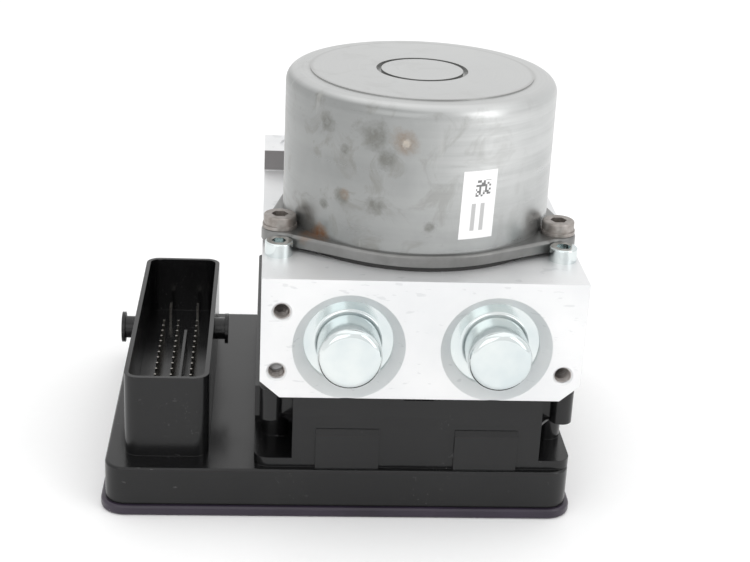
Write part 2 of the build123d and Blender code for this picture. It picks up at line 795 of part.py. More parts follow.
# Accumulators: drawn cap, spring, and a sealed piston that rests at the inner end of its bore
rim_y = -block_front + accumulator_seat_depth - cap_wall
cup_front_y = rim_y - cap_cup_length
piston_back_y = -block_front + accumulator_bore_depth - seat_gap
piston_front_y = piston_back_y - piston_length
accumulator_piston_radius = accumulator_bore_radius - running_gap
groove_y = piston_back_y - piston_length / 2
for side_name, side in sides:
    x = side * accumulator_x
    cap_plane = Plane((x, rim_y, accumulator_z), x_dir=(1, 0, 0), z_dir=(0, -1, 0))
    with BuildPart() as accumulator_cap:
        with BuildSketch(cap_plane):
            Circle(cap_rim_radius)
        extrude(amount=-cap_wall)
        with BuildSketch(cap_plane):
            Circle(cap_cup_radius)
        extrude(amount=cap_cup_length)
        fillet(accumulator_cap.faces().sort_by(Axis.Y)[0].edges(), cap_edge_radius)
        root_edges = accumulator_cap.edges().filter_by(GeomType.CIRCLE)
        root_edges = [
            edge
            for edge in root_edges
            if abs(edge.radius - cap_cup_radius) < 1e-3 and abs(edge.center().Y - rim_y) < 1e-3
        ]
        fillet(root_edges, cap_root_radius)
        with BuildSketch(cap_plane.offset(-cap_wall)):
            Circle(cap_cup_radius - cap_wall)
        extrude(amount=cap_cup_length, mode=Mode.SUBTRACT)
    keep(accumulator_cap, f"accumulator_cap_{side_name}")

    piston_plane = Plane((x, piston_back_y, accumulator_z), x_dir=(1, 0, 0), z_dir=(0, -1, 0))
    with BuildPart() as accumulator_piston:
        with BuildSketch(piston_plane):
            Circle(accumulator_piston_radius)
        extrude(amount=piston_length)
        chamfer(accumulator_piston.faces().sort_by(Axis.Y)[-1].edges(), seat_gap)
        with BuildSketch(piston_plane.offset(piston_length)):
            Circle(piston_recess_radius)
        extrude(amount=-piston_recess_depth, mode=Mode.SUBTRACT)
        with BuildSketch(piston_plane.offset((piston_length - seal_groove_width) / 2)):
            Circle(accumulator_bore_radius)
            Circle(accumulator_piston_radius - seal_section, mode=Mode.SUBTRACT)
        extrude(amount=seal_groove_width, mode=Mode.SUBTRACT)
    keep(accumulator_piston, f"accumulator_piston_{side_name}")

    with BuildPart() as accumulator_seal:
        with BuildSketch(piston_plane.offset((piston_length - seal_groove_width) / 2 + press_gap)):
            Circle(accumulator_piston_radius)
            Circle(accumulator_piston_radius - seal_section, mode=Mode.SUBTRACT)
        extrude(amount=seal_groove_width - 2 * press_gap)
    keep(accumulator_seal, f"accumulator_seal_{side_name}")

    spring_start_y = cup_front_y + cap_wall + press_gap
    spring_length = piston_front_y + piston_recess_depth - spring_start_y - press_gap
    accumulator_spring = coil_spring(
        (x, spring_start_y, accumulator_z), (0, 1, 0), spring_length, spring_radius, spring_wire, spring_turns
    )
    keep(accumulator_spring, f"accumulator_spring_{side_name}")

# Pump: opposed pistons driven by the ring on the eccentric, each with its spring and plug
pump_piston_start = ring_reach + seat_gap / 3
pump_collar_start = spring_bore_start + seat_gap
pump_plug_start = block_half_width - pump_plug_length
for side_name, side in sides:
    with BuildPart() as pump_piston:
        with BuildSketch(Plane((side * pump_piston_start, 0, pump_z), z_dir=(side, 0, 0))):
            Circle(pump_bore_radius)
        extrude(amount=pump_piston_length)
        with BuildSketch(Plane((side * pump_collar_start, 0, pump_z), z_dir=(side, 0, 0))):
            Circle(pump_collar_radius)
        extrude(amount=pump_collar_thickness)
    keep(pump_piston, f"pump_piston_{side_name}")

    with BuildPart() as pump_plug:
        with BuildSketch(Plane((side * pump_plug_start, 0, pump_z), z_dir=(side, 0, 0))):
            Circle(pump_spring_bore_radius - press_gap)
        extrude(amount=pump_plug_length - seat_gap)
        plug_face = Plane((side * (block_half_width - seat_gap), 0, pump_z), z_dir=(side, 0, 0))
        chamfer(pump_plug.faces().sort_by(Axis.X)[-1 if side > 0 else 0].edges(), seat_gap)
        with BuildSketch(plug_face):
            RegularPolygon(plug_hex_size / 2, 6, major_radius=False)
        extrude(amount=-plug_hex_depth, mode=Mode.SUBTRACT)
    keep(pump_plug, f"pump_plug_{side_name}")

    pump_spring_start = pump_collar_start + pump_collar_thickness + press_gap
    pump_spring_radius = pump_collar_radius - pump_spring_wire
    pump_spring = coil_spring(
        (side * pump_spring_start, 0, pump_z),
        (side, 0, 0),
        pump_plug_start - press_gap - pump_spring_start,
        pump_spring_radius,
        pump_spring_wire,
        pump_spring_turns,
    )
    keep(pump_spring, f"pump_spring_{side_name}")

# Balls pressed into the drillings of the side faces
with BuildPart() as sealing_balls:
    ball_x = block_half_width - sealing_ball_inset - sealing_ball_radius
    for _, side in sides:
        with Locations([(side * ball_x, y, block_z + height) for y, height in sealing_ball_places]):
            Sphere(sealing_ball_radius - press_gap)
keep(sealing_balls, "sealing_balls")

# Gasket under the motor
with BuildPart() as motor_gasket:
    with BuildSketch(Plane.XY.offset(block_top_z)):
        Circle(gasket_radius)
        Circle(pilot_radius + press_gap, mode=Mode.SUBTRACT)
        with Locations((0, terminal_y)):
            Circle(terminal_sleeve_radius, mode=Mode.SUBTRACT)
        with Locations(motor_screw_places):
            Circle(motor_screw_radius + screw_hole_gap, mode=Mode.SUBTRACT)
    extrude(amount=gasket_thickness)
keep(motor_gasket, "motor_gasket")

# Motor end plate with its screw ears, pilot and bearing seat
with BuildPart() as motor_flange:
    with BuildSketch(Plane.XY.offset(flange_z)) as flange_outline:
        Circle(flange_radius)
        with Locations(motor_screw_places):
            Circle(ear_radius)
        make_hull(flange_outline.edges())
        with Locations(unit_screw_places[:2]):
            Circle(unit_head_radius + seat_gap, mode=Mode.SUBTRACT)
    extrude(amount=flange_thickness)
    fillet(motor_flange.faces().sort_by(Axis.Z)[-1].edges(), flange_edge_radius)
    with BuildSketch(Plane.XY.offset(flange_z)):
        Circle(pilot_radius)
    extrude(amount=-pilot_depth)
    with Locations((0, 0, can_z)):
        Hole(bearing_outer_radius, can_z - bearing_z)
        Hole(bearing_outer_radius - bearing_race_thickness)
    for x, y in motor_screw_places:
        with Locations((x, y, can_z)):
            Hole(motor_screw_radius + screw_hole_gap)
    with Locations((0, terminal_y, can_z)):
        Hole(terminal_sleeve_radius)
keep(motor_flange, "motor_flange")

# Front ball bearing: outer race, balls and inner race
with BuildPart() as front_bearing:
    race_middle = (shaft_radius + bearing_outer_radius) / 2
    with BuildSketch(Plane.XY.offset(bearing_z)):
        Circle(bearing_outer_radius)
        Circle(bearing_outer_radius - bearing_race_thickness, mode=Mode.SUBTRACT)
        Circle(shaft_radius + running_gap + bearing_race_thickness)
        Circle(shaft_radius + running_gap, mode=Mode.SUBTRACT)
    extrude(amount=bearing_height)
    with Locations((0, 0, bearing_z + bearing_height / 2)):
        Torus(race_middle, bearing_ball_radius + press_gap, mode=Mode.SUBTRACT)
        with PolarLocations(race_middle, bearing_balls):
            Sphere(bearing_ball_radius)
keep(front_bearing, "front_bearing")

# Motor can, drawn in one piece with its sleeve for the rear bush
with BuildPart() as motor_can:
    inner_radius = can_radius - can_wall
    inner_top_z = can_top_z - can_wall
    sleeve_radius = bush_radius + bush_sleeve_wall
    sleeve_z = inner_top_z - bush_length - seat_gap
    boss_radius = boss_groove_radius - boss_groove_width
    with BuildSketch(Plane.XZ):
        with BuildLine():
            Polyline(
                (can_radius, can_z),
                (can_radius, can_top_z - can_step_height),
                (can_step_radius, can_top_z - can_step_height),
                (can_step_radius, can_top_z),
                (boss_groove_radius, can_top_z),
                (boss_groove_radius, can_top_z - boss_groove_depth),
                (boss_radius, can_top_z - boss_groove_depth),
                (boss_radius, can_top_z),
                (0, can_top_z),
                (0, inner_top_z),
                (bush_radius, inner_top_z),
                (bush_radius, sleeve_z),
                (sleeve_radius, sleeve_z),
                (sleeve_radius, inner_top_z - boss_groove_depth),
                (boss_groove_radius + can_wall, inner_top_z - boss_groove_depth),
                (boss_groove_radius + can_wall, inner_top_z),
                (inner_radius, inner_top_z),
                (inner_radius, can_z),
                close=True,
            )
        make_face()
    revolve(axis=Axis.Z)
    top_rim = [
        edge
        for edge in motor_can.edges().filter_by(GeomType.CIRCLE)
        if abs(edge.radius - can_radius) < 1e-3 and edge.center().Z > can_z + can_wall
    ]
    fillet(top_rim, can_edge_radius)
    inner_rim = [
        edge
        for edge in motor_can.edges().filter_by(GeomType.CIRCLE)
        if abs(edge.radius - inner_radius) < 1e-3 and edge.center().Z > can_z + can_wall
    ]
    fillet(inner_rim, can_edge_radius - can_wall)
keep(motor_can, "motor_can")

# Rear bush, with its shaft hole
with BuildPart() as rear_bearing:
    with BuildSketch(Plane.XY.offset(inner_top_z - bush_length)):
        Circle(bush_radius - press_gap)
        Circle(shaft_radius + running_gap, mode=Mode.SUBTRACT)
    extrude(amount=bush_length - press_gap)
keep(rear_bearing, "rear_bearing")

# Magnets against the can's wall
with BuildPart() as magnets:
    with BuildSketch(Plane.XY.offset(magnet_z)):
        Circle(inner_radius - press_gap)
        Circle(inner_radius - magnet_thickness, mode=Mode.SUBTRACT)
        half_gap = can_radius * tan(radians(360 / magnet_count - magnet_angle) / 2)
        with PolarLocations(0, magnet_count):
            Polygon(
                (0, 0), (can_radius, -half_gap), (can_radius, half_gap), align=None, mode=Mode.SUBTRACT
            )
    extrude(amount=magnet_height)
keep(magnets, "magnets")

# Rotor: shaft with the eccentric, laminated core, windings and commutator
shaft_end_z = inner_top_z - seat_gap
ring_bottom_z = pump_z - eccentric_ring_height / 2
with BuildPart() as motor_shaft:
    with Locations((0, 0, pump_z)):
        Cylinder(shaft_radius, shaft_end_z - pump_z, align=(Align.CENTER, Align.CENTER, Align.MIN))
    with Locations((0, eccentric_offset, pump_z)):
        Cylinder(eccentric_radius, eccentric_ring_height + 2 * running_gap)
    for direction in (-1, 1):
        collar_z = pump_z + direction * (
            eccentric_ring_height / 2 + running_gap + eccentric_collar_thickness / 2
        )
        with Locations((0, eccentric_offset, collar_z)):
            Cylinder(eccentric_collar_radius, eccentric_collar_thickness)
    chamfer(motor_shaft.faces().sort_by(Axis.Z)[-1].edges(), seat_gap)
keep(motor_shaft, "motor_shaft")

with BuildPart() as eccentric_ring:
    with BuildSketch(Plane.XY.offset(ring_bottom_z)):
        with Locations((0, eccentric_offset)):
            Circle(eccentric_ring_radius)
            Circle(eccentric_radius + running_gap, mode=Mode.SUBTRACT)
    extrude(amount=eccentric_ring_height)
keep(eccentric_ring, "eccentric_ring")

with BuildPart() as armature_core:
    slot_inner_radius = core_radius - core_slot_depth
    with BuildSketch(Plane.XY.offset(core_z)):
        Circle(core_radius)
        Circle(shaft_radius + press_gap, mode=Mode.SUBTRACT)
        with PolarLocations(slot_inner_radius, core_slots):
            Rectangle(
                core_slot_depth + can_wall, core_slot_width, align=(Align.MIN, Align.CENTER), mode=Mode.SUBTRACT
            )
    extrude(amount=core_height)
keep(armature_core, "armature_core")

with BuildPart() as armature_windings:
    winding_reach = core_slot_depth - 2 * air_gap
    winding_radius = slot_inner_radius + winding_reach
    with BuildSketch(Plane.XY.offset(core_z)):
        with PolarLocations(slot_inner_radius + press_gap, core_slots):
            Rectangle(winding_reach, core_slot_width - 2 * press_gap, align=(Align.MIN, Align.CENTER))
    extrude(amount=core_height)
    for end_z, direction in ((core_z + core_height, 1), (core_z, -1)):
        with BuildSketch(Plane.XY.offset(end_z)):
            Circle(winding_radius)
            Circle(slot_inner_radius - core_slot_width, mode=Mode.SUBTRACT)
        extrude(amount=direction * winding_overhang)
        end_faces = armature_windings.faces().sort_by(Axis.Z)[-1 if direction > 0 else 0]
        fillet(end_faces.edges().sort_by(SortBy.LENGTH)[-1], winding_overhang / 2)
keep(armature_windings, "armature_windings")

with BuildPart() as commutator:
    with BuildSketch(Plane.XY.offset(commutator_z)):
        Circle(commutator_radius)
        Circle(shaft_radius + press_gap, mode=Mode.SUBTRACT)
        with PolarLocations(commutator_radius - 2 * commutator_slit, commutator_bars):
            Rectangle(
                4 * commutator_slit, commutator_slit, align=(Align.MIN, Align.CENTER), mode=Mode.SUBTRACT
            )
    extrude(amount=commutator_height)
keep(commutator, "commutator")

# Brush holder with its two guides, the brushes and their springs
brush_start = commutator_radius + seat_gap
brush_z = commutator_z + commutator_height / 2
guide_start = brush_start + 2 * running_gap + brush_wall
guide_end = guide_start + brush_guide_length
guide_outer_width = brush_width + 2 * running_gap + 2 * brush_wall
with BuildPart() as brush_holder:
    with BuildSketch(Plane.XY.offset(can_z)):
        Circle(brush_holder_radius)
        Circle(brush_holder_hole_radius, mode=Mode.SUBTRACT)
        with Locations((0, terminal_y)):
            Circle(terminal_radius + press_gap, mode=Mode.SUBTRACT)
    extrude(amount=brush_holder_thickness)
    guide_bottom_z = can_z + brush_holder_thickness / 2
    guide_top_z = brush_z + brush_height / 2 + running_gap + brush_wall
    guide_height = guide_top_z - guide_bottom_z
    for _, side in sides:
        with Locations((side * (guide_start + brush_guide_length / 2), 0, guide_bottom_z)):
            Box(
                brush_guide_length,
                guide_outer_width,
                guide_height,
                align=(Align.CENTER, Align.CENTER, Align.MIN),
            )
        with Locations((side * (guide_start + (brush_guide_length - brush_wall) / 2), 0, brush_z)):
            Box(
                brush_guide_length - brush_wall,
                brush_width + 2 * running_gap,
                brush_height + 2 * running_gap,
                mode=Mode.SUBTRACT,
            )
keep(brush_holder, "brush_holder")

for side_name, side in sides:
    with BuildPart() as brush:
        with Locations((side * (brush_start + brush_length / 2), 0, brush_z)):
            Box(brush_length, brush_width, brush_height)
        with Locations((0, 0, brush_z)):
            Cylinder(brush_start, brush_height, mode=Mode.SUBTRACT)
    keep(brush, f"brush_{side_name}")

    brush_spring_start = brush_start + brush_length + press_gap
    brush_spring = coil_spring(
        (side * brush_spring_start, 0, brush_z),
        (side, 0, 0),
        guide_end - brush_wall - press_gap - brush_spring_start,
        brush_width / 2 - brush_spring_wire,
        brush_spring_wire,
        brush_spring_turns,
    )
    keep(brush_spring, f"brush_spring_{side_name}")

# Motor terminal: a rod in an insulating sleeve, from the brush holder down to the board
with BuildPart() as motor_terminal:
    with BuildSketch(Plane.XY.offset(board_top_z)):
        with Locations((0, terminal_y)):
            Circle(terminal_radius)
    extrude(amount=can_z + brush_holder_thickness - board_top_z)
    with BuildSketch(Plane.XY.offset(block_z)):
        with Locations((0, terminal_y)):
            Circle(terminal_sleeve_radius - press_gap)
    extrude(amount=can_z - block_z)
keep(motor_terminal, "motor_terminal")

# Screws that hold the motor, with their washers in one piece
with BuildPart() as motor_screws:
    with BuildSketch(Plane.XY.offset(can_z)):
        with Locations(motor_screw_places):
            Circle(motor_washer_radius)
    extrude(amount=motor_washer_height)
    with BuildSketch(Plane.XY.offset(can_z + motor_washer_height)):
        with Locations(motor_screw_places):
            Circle(motor_head_radius)
    extrude(amount=motor_head_height - motor_washer_height)
    fillet(motor_screws.faces().group_by(Axis.Z)[-1].edges(), head_edge_radius)
    with BuildSketch(Plane.XY.offset(can_z + motor_head_height)):
        with Locations(motor_screw_places):
            RegularPolygon(motor_socket_size / 2, 6, major_radius=False)
    extrude(amount=-socket_depth, mode=Mode.SUBTRACT)
    with BuildSketch(Plane.XY.offset(can_z)):
        with Locations(motor_screw_places):
            Circle(motor_screw_radius - press_gap)
    extrude(amount=-(can_z - block_top_z + motor_screw_depth - seat_gap))
keep(motor_screws, "motor_screws")

# Screws that hold the control unit to the block
with BuildPart() as unit_screws:
    with BuildSketch(Plane.XY.offset(block_top_z)):
        with Locations(unit_screw_places):
            Circle(unit_head_radius)
    extrude(amount=unit_head_height)
    fillet(unit_screws.faces().group_by(Axis.Z)[-1].edges(), head_edge_radius)
    with BuildSketch(Plane.XY.offset(block_top_z + unit_head_height)):
        with Locations(unit_screw_places):
            RegularPolygon(unit_socket_size / 2, 6, major_radius=False)
    extrude(amount=-socket_depth, mode=Mode.SUBTRACT)
    with BuildSketch(Plane.XY.offset(block_top_z)):
        with Locations(unit_screw_places):
            Circle(unit_screw_radius - press_gap)
    extrude(amount=-(block_height + unit_screw_grip - seat_gap))
keep(unit_screws, "unit_screws")
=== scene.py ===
"""Looks of an ABS brake module: bright machined block, grey motor can, black control unit."""
import json
import math

import bmesh
import bpy
from mathutils import Matrix, Vector


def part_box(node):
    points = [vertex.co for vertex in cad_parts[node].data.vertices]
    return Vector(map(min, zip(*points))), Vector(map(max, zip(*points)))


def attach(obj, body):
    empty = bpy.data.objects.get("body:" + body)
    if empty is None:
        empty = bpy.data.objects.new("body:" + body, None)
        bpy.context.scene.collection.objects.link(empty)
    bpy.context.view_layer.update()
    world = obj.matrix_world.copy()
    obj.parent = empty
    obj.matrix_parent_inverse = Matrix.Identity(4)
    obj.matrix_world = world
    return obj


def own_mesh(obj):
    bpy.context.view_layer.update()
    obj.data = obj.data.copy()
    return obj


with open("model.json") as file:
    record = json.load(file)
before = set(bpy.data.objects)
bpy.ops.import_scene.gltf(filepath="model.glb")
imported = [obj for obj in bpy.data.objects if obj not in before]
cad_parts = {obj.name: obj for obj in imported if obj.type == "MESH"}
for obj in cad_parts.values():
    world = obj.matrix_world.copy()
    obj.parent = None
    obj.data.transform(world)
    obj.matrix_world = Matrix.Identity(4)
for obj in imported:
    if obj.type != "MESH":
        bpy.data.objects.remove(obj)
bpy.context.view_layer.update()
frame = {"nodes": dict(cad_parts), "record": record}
nodes = frame["nodes"]

MM = 0.001

# Camera, solved from the photograph: place in mm, angles in degrees, focal length in pixels
CAMERA_PLACE = (-47.16, -466.78, 248.19)
CAMERA_YAW = 4.3786
CAMERA_PITCH = 22.1561
CAMERA_ROLL = 2.8162
FOCAL_PIXELS = 1550.68
PHOTO_WIDTH = 750
SENSOR_WIDTH = 36.0

FLOOR_SIZE = 6.0

# Lamps in metres and watts: place, size and power
LAMPS = {
    "top box": ((0.1, 0.1, 1.1), (1.6, 1.4), 2.6),
    "front box": ((-0.5, -1.1, 0.7), (1.0, 0.9), 1.8),
    "right box": ((0.9, -0.7, 0.6), (0.5, 1.0), 2.2),
}
LAMP_AIM = (0.0, 0.0, 0.06)

# Label on the can's side, in mm: width is measured across, from the can's axis
LABEL_HEIGHT = 21.0
LABEL_LOW = 88.0
LABEL_LEFT = 9.6
LABEL_RIGHT = 20.0
LABEL_LEAN = 0.6
LABEL_LIFT = 0.02
LABEL_THICKNESS = 0.08
LABEL_SUNK = 0.3

# Can top, in mm: height of the top's edge, then inner and outer radii of the painted shade along
# the top's step ring and in its groove
CAN_TOP_EDGE = 127.2
TOP_RING = (33.8, 35.2)
TOP_GROOVE = (12.7, 14.2)

# Stains on the can's side, each a centre and a radius in mm
OIL_SPOTS = (
    ((-29.8, -29.6, 119.5), 2.3),
    ((-24.8, -33.9, 112.6), 1.4),
    ((-13.0, -39.9, 111.8), 2.6),
    ((-16.5, -38.6, 118.0), 3.8),
    ((-25.0, -33.7, 98.0), 2.0),
    ((-15.5, -39.0, 97.2), 2.4),
    ((0.5, -42.0, 92.0), 1.5),
    ((-30.2, -29.2, 94.0), 1.5),
)
BROWN_SPOTS = (((-7.6, -41.3, 117.5), 3.4), ((-24.2, -34.3, 99.0), 1.5))
PALE_FLECK = ((-7.4, -41.3, 117.2), 1.2)
CAN_RUST = ((-31.0, -28.4, 84.6), 2.6)
FLANGE_RUST = ((-33.5, -27.0, 83.4), 3.0)

# Raised pads at the block's back, in mm: their front faces get painted shade, dark and dull
PAD_DEPTH = 19.0
PAD_HEIGHT = 7.1

# Threads, in mm
THREAD_PITCH = 1.0
THREAD_DEPTH = 0.34
THREAD_SUNK = 0.05
THREAD_START = 0.4
THREAD_END = 0.8


class Value:
    """A node's output that can be written in sums, so that maths reads as maths."""

    def __init__(self, graph, socket):
        self.graph = graph
        self.socket = socket

    def math(self, operation, *others):
        return self.graph.add("ShaderNodeMath", [self, *others], operation=operation)

    def __add__(self, other):
        return self.math("ADD", other)

    __radd__ = __add__

    def __sub__(self, other):
        return self.math("SUBTRACT", other)

    def __rsub__(self, other):
        return self.graph.add("ShaderNodeMath", [other, self], operation="SUBTRACT")

    def __mul__(self, other):
        return self.math("MULTIPLY", other)

    __rmul__ = __mul__

    def __truediv__(self, other):
        return self.math("DIVIDE", other)

    def __pow__(self, other):
        return self.math("POWER", other)

    def clamp(self):
        return self.math("MAXIMUM", 0.0).math("MINIMUM", 1.0)

    def above(self, edge, softness):
        """0 below an edge and 1 above it, with a soft step."""
        return ((self - (edge - softness)) / (2 * softness)).clamp()

    def below(self, edge, softness):
        return 1 - self.above(edge, softness)

    def between(self, low, high, softness):
        return self.above(low, softness) * self.below(high, softness)


class Graph:
    """The nodes of one material, around one Principled shader."""

    def __init__(self, name):
        self.material = bpy.data.materials.new(name)
        self.material.use_nodes = True
        self.tree = self.material.node_tree
        self.tree.nodes.clear()
        self.output = self.tree.nodes.new("ShaderNodeOutputMaterial")
        self.shader = self.tree.nodes.new("ShaderNodeBsdfPrincipled")
        self.tree.links.new(self.shader.outputs[0], self.output.inputs["Surface"])
        self.place = self.add("ShaderNodeTexCoord", output="Object")
        self.x, self.y, self.z = self.parts(self.place)

    def add(self, kind, inputs=(), output=0, **settings):
        """A node of one kind with its settings, then the values or links of its sockets."""
        node = self.tree.nodes.new(kind)
        for key, setting in settings.items():
            setattr(node, key, setting)
        pairs = inputs.items() if isinstance(inputs, dict) else enumerate(inputs)
        for key, given in pairs:
            self.feed(node.inputs[key], given)
        return Value(self, node.outputs[output])

    def feed(self, socket, given):
        if isinstance(given, Value):
            self.tree.links.new(given.socket, socket)
        elif isinstance(given, tuple) and len(given) == 3 and socket.type == "RGBA":
            socket.default_value = (*given, 1.0)
        else:
            socket.default_value = given

    def parts(self, vector):
        """The three parts of a vector."""
        node = self.tree.nodes.new("ShaderNodeSeparateXYZ")
        self.tree.links.new(vector.socket, node.inputs[0])
        return [Value(self, socket) for socket in node.outputs]

    def vector(self, x, y, z):
        return self.add("ShaderNodeCombineXYZ", [x, y, z])

    def noise(self, scale, detail=3.0, roughness=0.5, place=None, distortion=0.0):
        return self.add(
            "ShaderNodeTexNoise",
            {
                "Vector": place or self.place,
                "Scale": scale,
                "Detail": detail,
                "Roughness": roughness,
                "Distortion": distortion,
            },
        )

    def cells(self, scale, feature="F1"):
        return self.add(
            "ShaderNodeTexVoronoi", {"Vector": self.place, "Scale": scale}, feature=feature
        )

    def mix(self, share, first, second):
        """A colour between two colours."""
        node = self.tree.nodes.new("ShaderNodeMix")
        node.data_type = "RGBA"
        self.feed(node.inputs["Factor"], share)
        self.feed(node.inputs[6], first)
        self.feed(node.inputs[7], second)
        return Value(self, node.outputs[2])

    def bump(self, height, distance_mm, strength=1.0, rounding=None):
        """A normal from a height, over edges rounded by a small radius."""
        inputs = {"Height": height, "Distance": distance_mm * MM, "Strength": strength}
        if rounding:
            inputs["Normal"] = self.add("ShaderNodeBevel", {"Radius": rounding * MM}, samples=4)
        return self.add("ShaderNodeBump", inputs)

    def set(self, **values):
        """Sets the shader's sockets, named with underscores for blanks."""
        for key, given in values.items():
            self.feed(self.shader.inputs[key.replace("_", " ")], given)
        return self.material

    def spot(self, centre, radius_mm, softness=0.45, ragged=0.9):
        """1 inside a ragged, speckled patch about a point given in mm, and 0 outside."""
        offset = self.add(
            "ShaderNodeVectorMath",
            [self.place, tuple(c * MM for c in centre)],
            output="Vector",
            operation="SUBTRACT",
        )
        reach = self.add("ShaderNodeVectorMath", [offset], output="Value", operation="LENGTH")
        edge = self.noise(700 / radius_mm, 5.0, 0.7)
        speckle = self.noise(560.0, 4.0, 0.65).above(0.45, 0.12)
        wobble = 1 + (edge - 0.5) * (2 * ragged)
        inside = (reach * wobble).below(radius_mm * MM, radius_mm * softness * MM)
        return inside * (0.45 + 0.55 * speckle)

    def spots(self, places):
        """The union of several spots, each a centre and a radius."""
        patches = [self.spot(*place) for place in places]
        joined = patches[0]
        for patch in patches[1:]:
            joined = joined.math("MAXIMUM", patch)
        return joined


def machined_aluminium():
    g = Graph("machined aluminium")
    milled = g.noise(1.0, 4.0, 0.6, g.vector(g.x * 30, g.y * 120, g.z * 1400))
    swirl = g.noise(1.0, 3.0, 0.6, g.vector(g.x * 260, g.y * 1500, g.z * 60))
    cloud = g.noise(35.0, 4.0, 0.55)
    scuffs = g.noise(1.0, 2.0, 0.5, g.vector(g.x * 190, g.y * 190, g.z * 620)).above(0.69, 0.02)
    tone = g.mix(cloud.above(0.5, 0.25), (0.74, 0.75, 0.76), (0.86, 0.86, 0.86))
    tone = g.mix(scuffs * 0.35, tone, (0.55, 0.56, 0.57))
    _, block_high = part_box("valve_block")
    pad_front, pad_foot = block_high.y - PAD_DEPTH * MM, block_high.z - PAD_HEIGHT * MM
    # Painted shade: the pads' front faces are painted dark and dull
    step = g.y.between(pad_front - 0.4 * MM, pad_front + 0.4 * MM, 0.0002)
    step = step * g.z.above(pad_foot + 0.2 * MM, 0.0002)
    tone = g.mix(step * 0.85, tone, (0.17, 0.155, 0.155))
    height = milled * 0.6 + swirl * 0.25 - scuffs * 0.6
    return g.set(
        Base_Color=tone,
        Metallic=0.65,
        Roughness=(0.44 + (milled - 0.5) * 0.16 + cloud * 0.06).clamp(),
        Normal=g.bump(height, 0.03, 0.5, rounding=0.25),
    )


def drawn_steel():
    """The can: drawn steel with ring marks, stains from handling and a little rust, a left side
    darkened partly by stain and partly by painted shade, a painted highlight at the upper right,
    and painted shade on the top's step ring and groove.
    """
    g = Graph("drawn steel can")
    radius = (g.x * g.x + g.y * g.y) ** 0.5
    side = g.vector(g.x * 14, g.y * 14, g.z * 1500)
    top = g.vector(radius * 1500, 0.0, 0.0)
    side_lines = g.noise(1.0, 4.0, 0.65, side)
    top_lines = g.noise(1.0, 4.0, 0.65, top)
    on_top = g.z.above(CAN_TOP_EDGE * MM, 0.0006)
    lines = side_lines * (1 - on_top) + top_lines * on_top
    bands = g.noise(1.0, 2.0, 0.5, g.vector(g.x * 9, g.y * 9, g.z * 160))
    cloud = g.noise(42.0, 4.0, 0.6, distortion=0.6)
    blotches = g.noise(85.0, 5.0, 0.65, distortion=1.0)
    left = (g.x * -1.0).above(-0.012, 0.03)
    tone = g.mix(cloud.above(0.5, 0.22), (0.37, 0.38, 0.378), (0.50, 0.51, 0.508))
    tone = g.mix(on_top * 0.75, tone, (0.54, 0.545, 0.54))
    # Painted highlight, partly the steel's own lighter tone: a brighter band at the upper right of
    # the can's side
    right = g.x.above(0.005, 0.012) * g.x.below(0.032, 0.014) * g.z.above(0.098, 0.012)
    right = right * (1 - on_top)
    highlight_streaks = g.noise(1.0, 3.0, 0.6, g.vector(g.x * 22, g.y * 22, g.z * 520))
    tone = g.mix(right * (0.5 + 0.45 * highlight_streaks.above(0.5, 0.15)), tone, (0.80, 0.81, 0.805))
    tone = g.mix(bands.above(0.55, 0.12) * 0.35, tone, (0.58, 0.59, 0.585))
    # Painted shade, partly stain: the can's side is darker on the left, below the top
    tone = g.mix(left * 0.6 * (1 - on_top), tone, (0.21, 0.215, 0.21))
    old_stain = blotches.above(0.58, 0.06) * left * (0.45 - 0.33 * on_top)
    tone = g.mix(old_stain, tone, (0.20, 0.195, 0.175))
    # Painted shade: a darker ring along the step on the can's top
    ring = radius.between(*(edge * MM for edge in TOP_RING), 0.0004) * on_top
    tone = g.mix(ring * 0.35, tone, (0.30, 0.30, 0.29))

    oil = g.spots(OIL_SPOTS)
    tone = g.mix(oil * 0.7, tone, (0.16, 0.16, 0.145))
    stain = g.spots(BROWN_SPOTS)
    tone = g.mix(stain * 0.65, tone, (0.24, 0.18, 0.13))
    fleck = g.spot(*PALE_FLECK, 0.3, 1.4)
    tone = g.mix(fleck * 0.6, tone, (0.60, 0.55, 0.48))
    rust = g.spot(*CAN_RUST, 0.5, 0.8)
    tone = g.mix(rust * 0.8, tone, (0.28, 0.13, 0.05))
    drip = g.noise(1.0, 3.0, 0.6, g.vector(g.x * 130, g.y * 130, g.z * 28)).above(0.66, 0.03)
    tone = g.mix(drip * left * 0.3 * (1 - on_top), tone, (0.55, 0.55, 0.53))
    # Painted shade: the groove round the top's centre boss is darkened
    groove = radius.between(*(edge * MM for edge in TOP_GROOVE), 0.0002) * on_top
    tone = g.mix(groove * 0.6, tone, (0.12, 0.12, 0.11))
    return g.set(
        Base_Color=tone,
        Metallic=0.88,
        Roughness=(0.25 + (lines - 0.5) * 0.2 + cloud * 0.14 + oil * 0.12).clamp(),
        Normal=g.bump(lines * 0.9 + blotches * 0.3, 0.03, 0.7),
    )


def flange_steel():
    g = Graph("turned end plate")
    radius = (g.x * g.x + g.y * g.y) ** 0.5
    rings = g.noise(1.0, 4.0, 0.6, g.vector(radius * 1100, g.z * 900, 0.0))
    cloud = g.noise(60.0, 4.0, 0.6)
    tone = g.mix(cloud.above(0.5, 0.2), (0.17, 0.17, 0.165), (0.28, 0.28, 0.275))
    rust = g.spot(*FLANGE_RUST, 0.5, 0.9)
    tone = g.mix(rust * 0.7, tone, (0.30, 0.15, 0.07))
    return g.set(
        Base_Color=tone,
        Metallic=0.85,
        Roughness=(0.3 + (rings - 0.5) * 0.2 + cloud * 0.1).clamp(),
        Normal=g.bump(rings, 0.03, 0.5, rounding=0.3),
    )


